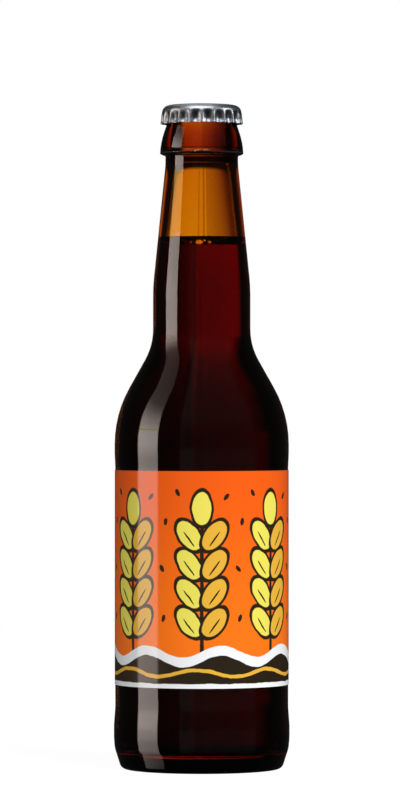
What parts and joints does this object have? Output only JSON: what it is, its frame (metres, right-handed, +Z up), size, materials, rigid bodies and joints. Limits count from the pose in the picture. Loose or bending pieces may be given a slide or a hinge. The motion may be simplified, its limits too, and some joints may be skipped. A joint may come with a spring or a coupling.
{
  "type": "beer bottle",
  "caption": "Full long-neck amber glass bottle of dark beer with a wrap-round paper label and a crimped crown cap.",
  "frame": {"origin": "centre of the base, on the surface that the bottle stands on", "axes": "+Z up along the bottle's axis, -Y towards the front of the label"},
  "size_m": [0.061, 0.061, 0.2306],
  "materials": {
    "amber_glass": "smooth moulded amber glass",
    "dark_beer": "clear dark liquid",
    "printed_paper": "glossy printed paper",
    "silver_tinplate": "satin silver tinplate"
  },
  "bodies": {
    "root": {"bottle_glass": "amber_glass", "beer": "dark_beer", "label": "printed_paper", "crown_cap": "silver_tinplate"}
  },
  "joints": []
}
